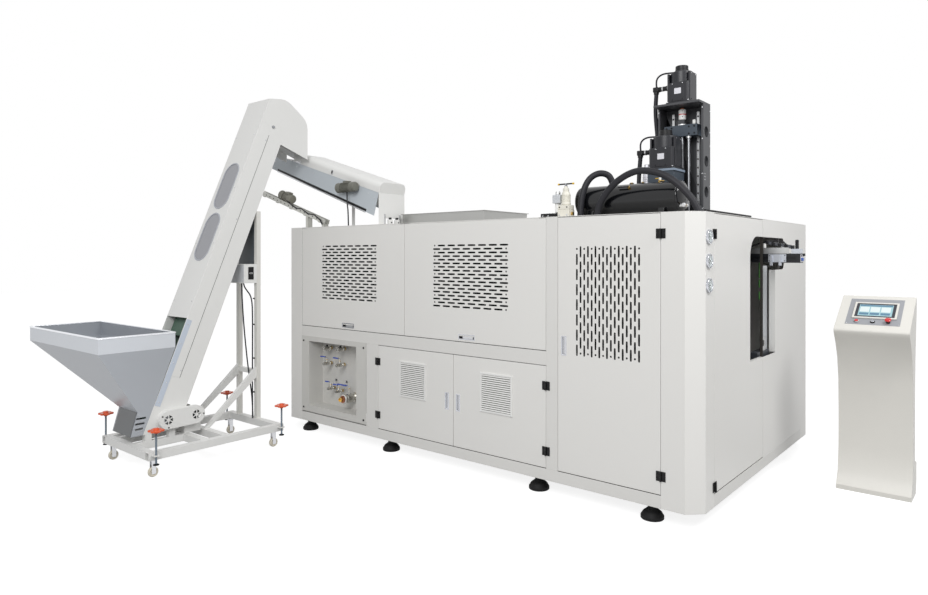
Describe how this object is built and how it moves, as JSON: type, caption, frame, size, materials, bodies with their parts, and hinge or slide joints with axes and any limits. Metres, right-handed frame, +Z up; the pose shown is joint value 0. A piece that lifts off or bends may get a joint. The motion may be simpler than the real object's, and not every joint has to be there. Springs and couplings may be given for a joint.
{
  "type": "blow moulding machine",
  "caption": "Stretch blow moulding machine with slotted doors, valve recess, servo stretch unit, roller unscrambler, inclined preform elevator with hopper, and console.",
  "frame": {"origin": "middle of the footprint, on the floor", "axes": "+X along the front face towards the end with the outfeed window, +Y from the front face into the machine, +Z up"},
  "size_m": [6.048, 4.337, 3.0663],
  "materials": {
    "cabinet_white": "satin",
    "frame_grey": "satin",
    "foot_rubber": "matte",
    "hinge_black": "satin",
    "box_sheet": "satin",
    "valve_steel": "satin",
    "lever_blue": "gloss",
    "gauge_rim": "gloss",
    "oven_steel": "brushed",
    "tank_black": "gloss",
    "fitting_grey": "satin",
    "handle_yellow": "matte",
    "hose_black": "matte",
    "column_grey": "satin",
    "screw_steel": "gloss",
    "motor_black": "satin",
    "mould_aluminium": "satin",
    "beam_black": "satin",
    "gripper_aluminium": "satin",
    "feeder_white": "satin",
    "clear_pane": "clear",
    "belt_grey": "matte",
    "hopper_steel": "brushed",
    "wheel_cream": "matte",
    "jack_orange": "matte",
    "control_grey": "satin",
    "gearmotor_grey": "satin",
    "console_white": "satin",
    "screen_housing": "satin",
    "button_red": "gloss",
    "key_steel": "gloss"
  },
  "bodies": {
    "machine": {"air_hoses": "hose_black", "air_regulator": "fitting_grey", "air_tank": "tank_black", "air_valves": "valve_steel", "cabinet_frame": "frame_grey", "cart_frame": "feeder_white", "clamp_frame": "frame_grey", "console_cabinet": "console_white", "console_screen": "screen_housing", "control_box": "control_grey", "corner_columns": "cabinet_white", "door_hinges": "hinge_black", "drive_guard": "feeder_white", "elevator_belt": "belt_grey", "elevator_casing": "feeder_white", "elevator_windows": "clear_pane", "feeder_cables": "hose_black", "gear_motors": "gearmotor_grey", "jack_screws": "jack_orange", "levelling_feet": "foot_rubber", "motor_cables": "hose_black", "outfeed_beam": "beam_black", "oven": "oven_steel", "preform_hopper": "hopper_steel", "pressure_gauges": "gauge_rim", "roof_panel": "cabinet_white", "servo_column": "column_grey", "servo_motors": "motor_black", "side_panels": "cabinet_white", "unscrambler_frame": "feeder_white", "valve_box": "box_sheet"},
    "upper_left_door_body": {"upper_left_door": "cabinet_white"},
    "upper_right_door_body": {"upper_right_door": "cabinet_white"},
    "lower_left_door_body": {"lower_left_door": "cabinet_white"},
    "lower_right_door_body": {"lower_right_door": "cabinet_white"},
    "tall_front_door_body": {"tall_front_door": "cabinet_white"},
    "end_door_body": {"end_door": "cabinet_white"},
    "stretch_carriage_body": {"stretch_carriage": "screw_steel"},
    "ball_screw_body": {"ball_screw": "screw_steel"},
    "front_mould_body": {"front_mould": "mould_aluminium"},
    "rear_mould_body": {"rear_mould": "mould_aluminium"},
    "outfeed_carriage_body": {"outfeed_carriage": "gripper_aluminium"},
    "valve_lever_1_body": {"valve_lever_1": "lever_blue"},
    "valve_lever_2_body": {"valve_lever_2": "lever_blue"},
    "valve_lever_3_body": {"valve_lever_3": "lever_blue"},
    "valve_lever_4_body": {"valve_lever_4": "lever_blue"},
    "valve_lever_5_body": {"valve_lever_5": "lever_blue"},
    "regulator_handle_body": {"regulator_handle": "handle_yellow"},
    "power_button_body": {"power_button": "button_red"},
    "emergency_stop_body": {"emergency_stop": "button_red"},
    "key_switch_body": {"key_switch": "key_steel"},
    "castor_wheel_1_body": {"castor_wheel_1": "wheel_cream"},
    "castor_wheel_2_body": {"castor_wheel_2": "wheel_cream"},
    "castor_wheel_3_body": {"castor_wheel_3": "wheel_cream"},
    "castor_wheel_4_body": {"castor_wheel_4": "wheel_cream"},
    "drive_roller_body": {"drive_roller": "screw_steel"},
    "head_roller_body": {"head_roller": "screw_steel"},
    "near_roller_body": {"near_roller": "screw_steel"},
    "far_roller_body": {"far_roller": "screw_steel"},
    "unscrambler_hood_body": {"unscrambler_hood": "feeder_white"}
  },
  "joints": [
    {"name": "upper_left_door", "type": "hinge", "parent": "machine", "child": "upper_left_door_body", "pos_m": [-0.9495, -0.3555, 1.893], "axis": [-1, 0, 0], "range_deg": [0, 85]},
    {"name": "upper_right_door", "type": "hinge", "parent": "machine", "child": "upper_right_door_body", "pos_m": [0.4045, -0.3555, 1.893], "axis": [-1, 0, 0], "range_deg": [0, 85]},
    {"name": "lower_left_door", "type": "hinge", "parent": "machine", "child": "lower_left_door_body", "pos_m": [-0.587, -0.3635, 0.535], "axis": [0, 0, -1], "range_deg": [0, 110]},
    {"name": "lower_right_door", "type": "hinge", "parent": "machine", "child": "lower_right_door_body", "pos_m": [1.085, -0.3635, 0.535], "axis": [0, 0, 1], "range_deg": [0, 110]},
    {"name": "tall_front_door", "type": "hinge", "parent": "machine", "child": "tall_front_door_body", "pos_m": [1.907, -0.3635, 1.04], "axis": [0, 0, 1], "range_deg": [0, 110]},
    {"name": "end_door", "type": "hinge", "parent": "machine", "child": "end_door_body", "pos_m": [2.155, -0.1185, 1.04], "axis": [0, 0, -1], "range_deg": [0, 110]},
    {"name": "stretch_stroke", "type": "slide", "parent": "machine", "child": "stretch_carriage_body", "axis": [0, 0, 1], "range_m": [-0.35, 0]},
    {"name": "ball_screw", "type": "hinge", "parent": "machine", "child": "ball_screw_body", "pos_m": [1.744, 0.3825, 2.3], "axis": [0, 0, 1], "range_deg": [-2600, 0]},
    {"name": "front_mould", "type": "slide", "parent": "machine", "child": "front_mould_body", "axis": [0, 1, 0], "range_m": [0, 0.09]},
    {"name": "rear_mould", "type": "slide", "parent": "machine", "child": "rear_mould_body", "axis": [0, -1, 0], "range_m": [0, 0.09]},
    {"name": "outfeed_stroke", "type": "slide", "parent": "machine", "child": "outfeed_carriage_body", "axis": [1, 0, 0], "range_m": [-0.5, 0]},
    {"name": "valve_lever_1", "type": "hinge", "parent": "machine", "child": "valve_lever_1_body", "pos_m": [-1.363, -0.2705, 0.687], "axis": [0, 0, 1], "range_deg": [0, 90]},
    {"name": "valve_lever_2", "type": "hinge", "parent": "machine", "child": "valve_lever_2_body", "pos_m": [-1.18, -0.2705, 0.69], "axis": [0, 0, 1], "range_deg": [0, 90]},
    {"name": "valve_lever_3", "type": "hinge", "parent": "machine", "child": "valve_lever_3_body", "pos_m": [-1.309, -0.2705, 0.462], "axis": [0, 0, 1], "range_deg": [0, 90]},
    {"name": "valve_lever_4", "type": "hinge", "parent": "machine", "child": "valve_lever_4_body", "pos_m": [-1.198, -0.2705, 0.448], "axis": [0, 0, 1], "range_deg": [0, 90]},
    {"name": "valve_lever_5", "type": "hinge", "parent": "machine", "child": "valve_lever_5_body", "pos_m": [-1.055, -0.2675, 0.4555], "axis": [0, 0, 1], "range_deg": [0, 90]},
    {"name": "regulator_handle", "type": "hinge", "parent": "machine", "child": "regulator_handle_body", "pos_m": [1.122, -0.1555, 2.139], "axis": [0, 0, 1], "range_deg": [-1080, 1080]},
    {"name": "power_button", "type": "slide", "parent": "machine", "child": "power_button_body", "axis": [0, 0.5309, -0.8474], "range_m": [0, 0.004], "stiffness_N_per_m": 600},
    {"name": "emergency_stop", "type": "slide", "parent": "machine", "child": "emergency_stop_body", "axis": [0, 0.5309, -0.8474], "range_m": [0, 0.005], "stiffness_N_per_m": 1500},
    {"name": "key_switch", "type": "hinge", "parent": "machine", "child": "key_switch_body", "pos_m": [2.8, 1.06829, 1.18047], "axis": [0, -0.5309, 0.8474], "range_deg": [0, 90]},
    {"name": "castor_wheel_1", "type": "hinge", "parent": "machine", "child": "castor_wheel_1_body", "pos_m": [-2.029, -1.8935, 0.0375], "axis": [1, 0, 0], "continuous": true},
    {"name": "castor_wheel_2", "type": "hinge", "parent": "machine", "child": "castor_wheel_2_body", "pos_m": [-2.029, -0.8535, 0.0375], "axis": [1, 0, 0], "continuous": true},
    {"name": "castor_wheel_3", "type": "hinge", "parent": "machine", "child": "castor_wheel_3_body", "pos_m": [-1.359, -1.8935, 0.0375], "axis": [1, 0, 0], "continuous": true},
    {"name": "castor_wheel_4", "type": "hinge", "parent": "machine", "child": "castor_wheel_4_body", "pos_m": [-1.359, -0.8535, 0.0375], "axis": [1, 0, 0], "continuous": true},
    {"name": "drive_roller", "type": "hinge", "parent": "machine", "child": "drive_roller_body", "pos_m": [-1.794, -1.6625, 0.342], "axis": [1, 0, 0], "continuous": true},
    {"name": "head_roller", "type": "hinge", "parent": "machine", "child": "head_roller_body", "pos_m": [-1.794, -0.66979, 2.79904], "axis": [1, 0, 0], "continuous": true},
    {"name": "near_roller", "type": "hinge", "parent": "machine", "child": "near_roller_body", "pos_m": [-1.48063, -0.1485, 2.35107], "axis": [0.9548, 0, -0.2974], "continuous": true},
    {"name": "far_roller", "type": "hinge", "parent": "machine", "child": "far_roller_body", "pos_m": [-1.48063, -0.0305, 2.35107], "axis": [0.9548, 0, -0.2974], "continuous": true},
    {"name": "unscrambler_hood", "type": "hinge", "parent": "machine", "child": "unscrambler_hood_body", "pos_m": [-1.2449, 0.0665, 2.35128], "axis": [-0.9548, 0, 0.2974], "range_deg": [0, 95]}
  ],
  "couplings": [
    {"joint": "ball_screw", "follows": "stretch_stroke", "rad_per_m": 125.66},
    {"joint": "rear_mould", "follows": "front_mould", "ratio": 1},
    {"joint": "head_roller", "follows": "drive_roller", "ratio": 1},
    {"joint": "far_roller", "follows": "near_roller", "ratio": -1}
  ]
}
